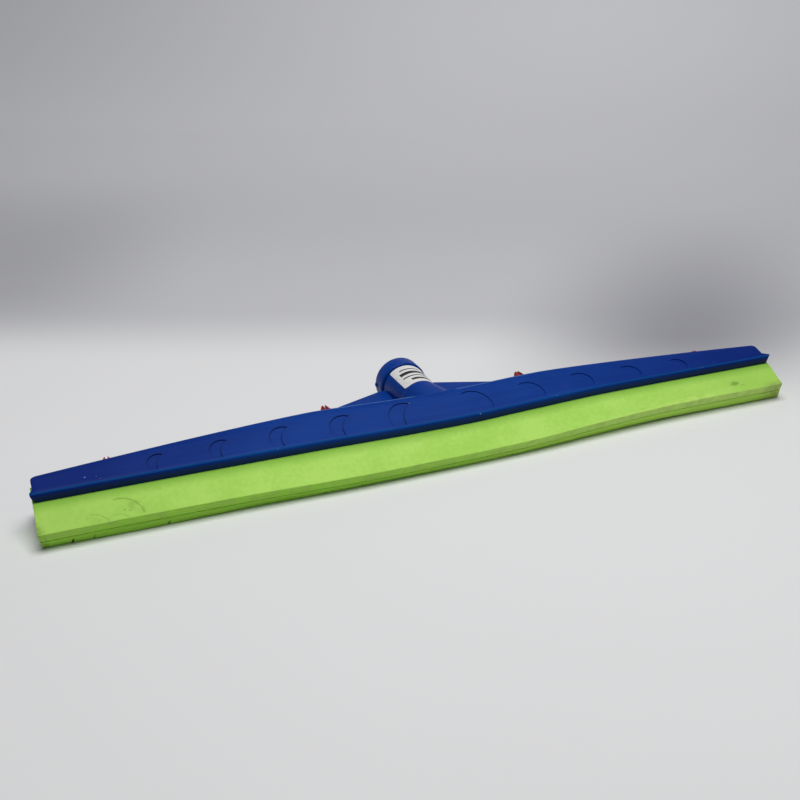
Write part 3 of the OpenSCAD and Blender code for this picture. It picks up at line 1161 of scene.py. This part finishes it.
# %% [markdown]
# ## The foam strips
#
# Each strip starts as a block, cut into many slices so that it can bend. Then the rule of
# this blade is applied: it follows the lips where they grip it, swells a little just below
# them, and waves more and more towards the free edge, which has a few small nicks. The two
# strips share one wave where they meet. The rear one has its own wave on its outer corner, so
# its cut edge slants where it spreads on the floor. Where the lowest corner would sink into
# the floor it is squashed flat, as soft foam would be.

# %% Shape of the strips
# The wave of each free edge: place along the blade, and how far the edge has risen there.
FRONT_EDGE = [(-275, -1.5), (-150, -2.6), (-70, -5.1), (0, -5.1), (60, -3.9), (110, -0.7),
              (165, 1.9), (215, 2.2), (275, 1.7)]
REAR_EDGE = [(-275, -1.8), (-240, -3.0), (-210, -4.0), (-140, -3.6), (-100, -4.8), (-58, -5.2),
             (-15, -5.5), (30, -5.4), (78, -3.0), (128, 0.1), (170, 1.5), (233, 0.8), (275, 0.4)]
rear_step, swell_most, nick_half, root_y = 0.35, 0.55, 1.7, 24.5


def foam_rule(side):
    """The rule that shapes a strip: side is 1 for the front one and -1 for the rear one."""
    edge = FRONT_EDGE if side > 0 else REAR_EDGE
    nicks = FRONT_NICKS if side > 0 else REAR_NICKS

    def rule(x, y, z):
        free = ease(lip_low - y, 0, lip_low)
        outer = abs(z) / foam_t
        wave = through(FRONT_EDGE, x) * (1 - outer) + through(edge, x) * outer
        wave -= rear_step * (1 - outer) if side < 0 else 0
        shift = bow(x, y) * (1 - free) + wave * free
        swell = swell_most * ease(y, 25, 21) * (0.35 + 0.65 * ease(y, 2, 18)) * outer
        reach = (0.2 - 0.11 * z) * free if x > 0 else (0.3 - 0.16 * z) * free
        torn = sum(deep * max(0, 1 - abs(x - place) / nick_half) for place, deep in nicks)
        shift += torn * ease(outer, 0.6, 0.9) * ease(y, 3, 0)
        z += side * swell if y < root_y else 0
        return x + reach * ease(abs(x), 200, 275), y + shift, z

    return rule


def rest_on_floor(strip):
    """Flattens what would sink into the floor, and lets it spread forward a little."""
    thin, spread = 0.00005, 0.4
    reshape(strip, lambda x, y, z: (x, y - max(0, thin - z) * spread, max(z, thin)))


def foam_strip(name, side, node):
    """A strip, drawn flat, cut into slices, shaped by its rule and laid on the floor."""
    strip = block(name, (foam_l, foam_h, foam_t - 0.04), (0, foam_h / 2, side * foam_t / 2))
    for axis, cuts in enumerate((219, 23, 4)):
        slices(strip, axis, cuts)
    soften(strip, 0.28, 2, 60)
    remember(strip)
    reshape(strip, foam_rule(side))
    stand(strip)
    rest_on_floor(strip)
    finish_piece(strip, foam, "blade_foam", node, angle=50)


foam_strip("front_strip", 1, "front_foam_blade")
foam_strip("rear_strip", -1, "rear_foam_blade")

# %% [markdown]
# ## The label
#
# A white paper label is stuck round the upper side of the sleeve. It carries plain dark bars
# and nothing else. It is drawn as a flat card first, with its corners rounded, and cut into
# narrow slices so that it can curve. A rule then wraps it round the tapered sleeve and lifts
# one corner a little, as old labels do. The card remembers its flat place, so the print is
# laid out on paper and not on a cone.


# %% Label finish
def label_paper():
    """Off-white paper with stains and four worn bars of ink."""
    f = Finish("label_paper", own_place=True, IOR=1.45)
    fibre = f.noise(0.7, 3)
    stain = f.band(f.noise(7, 3), 0.5, 0.75)
    colour = f.mix(fibre, (0.76, 0.75, 0.73), (0.86, 0.86, 0.84))
    colour = f.mix(stain * 0.3, colour, (0.52, 0.50, 0.46))
    ink = 0
    # Bars: lower and upper edge, left and right end.
    for low, high, left, right in ((5.5, 7.2, -10, 6), (10.2, 14.6, -12, 12), (17.5, 19.2, -12, 9),
                                   (22.0, 25.4, -7, 12)):
        bar = f.band(f.y, low, low + 0.2) * f.band(f.y, high, high - 0.2)
        bar = bar * f.band(f.x, left, left + 0.3) * f.band(f.x, right, right - 0.3)
        ink = f.math_max(ink, bar)
    worn_ink = ink * f.band(f.noise(0.9, 4, shift=3.0), 0.25, 0.4)
    colour = f.mix(worn_ink, colour, (0.012, 0.012, 0.015))
    rough = 0.5 - ink * 0.12 + fibre * 0.1
    return f.finished(Base_Color=colour, Roughness=rough, Normal=f.bump(fibre, 0.03, 0.4))


paper = label_paper()

# %% Wrap the card round the sleeve
label_start, label_l, label_turn, label_first, label_t = 14.6, 29.8, 110.0, -135.0, 0.12
label_round, label_slices, label_rows, label_gap, label_lift = 1.4, 36, 8, 0.03, 0.5
card_w = math.radians(label_turn) * sleeve_r
deselect()
bpy.ops.mesh.primitive_plane_add(size=1, location=(0, label_l / 2, 0))
sticker = named("socket_sticker")
sticker.scale = (card_w, label_l, 1)
apply_place(sticker)
edit_all(sticker)
bpy.ops.mesh.bevel(offset=label_round, segments=5, affect="VERTICES")
cuts = [((card_w * (i / label_slices - 0.5), 0, 0), (1, 0, 0)) for i in range(1, label_slices)]
cuts += [((0, label_l * i / label_rows, 0), (0, 1, 0)) for i in range(1, label_rows)]
for place, across in cuts:
    bpy.ops.mesh.select_all(action="SELECT")
    bpy.ops.mesh.bisect(plane_co=place, plane_no=across)
deselect()
remember(sticker)


def wrapped(x, y, z):
    """Lays a point of the card on the sleeve."""
    turn = math.radians(label_first + label_turn * (x / card_w + 0.5))
    back = label_start + y
    lift = label_lift * ease(-x, card_w / 2 - 4, card_w / 2) * ease(y, label_l - 5, label_l)
    radius = sleeve_r - (sleeve_r - dome_r) * (back - rim_l) / (socket_l - rim_l) + label_gap + lift
    return radius * math.cos(turn), radius * math.sin(turn), -back


reshape(sticker, wrapped)
modify(sticker, "SOLIDIFY", thickness=label_t, offset=0)
reshape(sticker, lambda x, y, z: Vector((x, y, z)) + Vector((x, y, 0)).normalized() * label_t / 2)
merge(sticker, 0.001)
put(sticker, rim_face, -math.pi / 2 - socket_angle)
stand(sticker)
finish_piece(sticker, paper, "label_paper", "socket_label")

# %% [markdown]
# ## Floor, backdrop and light
#
# The head lies on a pale sweep: a wide floor that curves up into a backdrop, with no line
# between them. The backdrop is far enough away for a camera to walk round behind the head.
# Light and shade are painted onto the paper: it is greyer in a soft band behind the head,
# darker in two soft patches, one on each side, and far back lighter towards the right. One
# large soft light hangs overhead, and a weak grey sky fills the shadows. The Standard view
# shows colours as they are; the usual one would grey the strong blue.

# %% Sweep
floor_back, floor_deep, floor_wide, bend = 1.25, 5.0, 6, 0.3
backdrop = (0, 0.1, 0.7)
heading = math.atan2(gaze.x, gaze.y)
deselect()
bpy.ops.mesh.primitive_plane_add(size=1, location=(0, floor_back - floor_deep / 2, 0))
sweep = named("sweep")
sweep.scale = (floor_wide, floor_deep, 1)
apply_place(sweep)
edit(sweep)
pick(sweep, "EDGE", lambda e: all(v.co.y > floor_back - 0.01 for v in e.verts))
bpy.ops.mesh.extrude_region_move(TRANSFORM_OT_translate={"value": backdrop})
pick(sweep, "EDGE", lambda e: all(abs(v.co.y - floor_back) < 0.01 for v in e.verts))
bpy.ops.mesh.bevel(offset=bend, segments=16, affect="EDGES")
deselect()
sweep.rotation_euler = (0, 0, -heading)
apply_place(sweep)


def sweep_paper():
    """Paper with painted light and shade: its grey depends on how far back and how far to the side it
    is, in millimetres.
    """
    f = Finish("sweep_paper", Specular_IOR_Level=0.2)
    cloud = f.noise(420, 2)
    depth = f.y * math.cos(lean) - f.z * math.sin(lean) + blade_origin.y / MM
    back = f.x * math.sin(heading) + depth * math.cos(heading)
    side = f.x * math.cos(heading) - depth * math.sin(heading)
    colour = f.mix(cloud, (0.82, 0.82, 0.82), (0.86, 0.86, 0.86))
    # Painted shade: a greyer band behind the head, lighter again further back.
    colour = f.mix(f.band(back, 120, 245), colour, (0.60, 0.60, 0.62))
    colour = f.mix(f.band(back, 450, 1050), colour, (0.80, 0.80, 0.82))
    # Painted light: far back the paper gets lighter towards the right.
    far_with_painted_light = f.mix(f.band(side, -700, 500), (0.74, 0.74, 0.77), (0.92, 0.92, 0.94))
    colour = f.mix(f.band(back, 1000, 1300), colour, far_with_painted_light)
    # Painted shade: a dark patch behind the head, to its right.
    right = f.band(abs(side - back * 0.3 - 180), 200, 0)
    right = right * f.band(back, 10, 190) * f.band(back, 620, 120)
    colour = f.mix(right * 0.95, colour, (0.28, 0.28, 0.31))
    # Painted shade: a softer dark patch on the left.
    left = f.band(side, -200, -420) * f.band(back, 150, 300) * f.band(back, 750, 350)
    colour = f.mix(left * 0.6, colour, (0.38, 0.38, 0.40))
    grain = f.bump(f.noise(3, 3), 0.05, 0.3)
    return f.finished(Base_Color=colour, Roughness=0.62 + cloud * 0.1, Normal=grain)


take(sweep)
sweep.data.materials.append(sweep_paper())
bpy.ops.object.shade_smooth()
print("sweep:", len(sweep.data.polygons), "faces")

# %% Lights
lamp_place, lamp_target = Vector((0.08, -0.05, 1.5)), Vector((0.08, -0.06, 0))
lamp_turn = (lamp_target - lamp_place).to_track_quat("-Z", "Y").to_euler()
deselect()
bpy.ops.object.light_add(type="AREA", location=lamp_place, rotation=lamp_turn)
overhead = bpy.context.object
overhead.name = "overhead"
overhead.data.shape = "RECTANGLE"
overhead.data.size, overhead.data.size_y = 1.2, 0.9
overhead.data.energy = 19
world = bpy.data.worlds.new("studio")
bpy.context.scene.world = world
world.use_nodes = True
sky = world.node_tree.nodes["Background"].inputs
sky["Color"].default_value = (0.9, 0.93, 1.0, 1)
sky["Strength"].default_value = 0.12
bpy.context.scene.view_settings.view_transform = "Standard"
print("light: %.0f W over the head, sky at %.2f" % (overhead.data.energy, sky["Strength"].default_value))
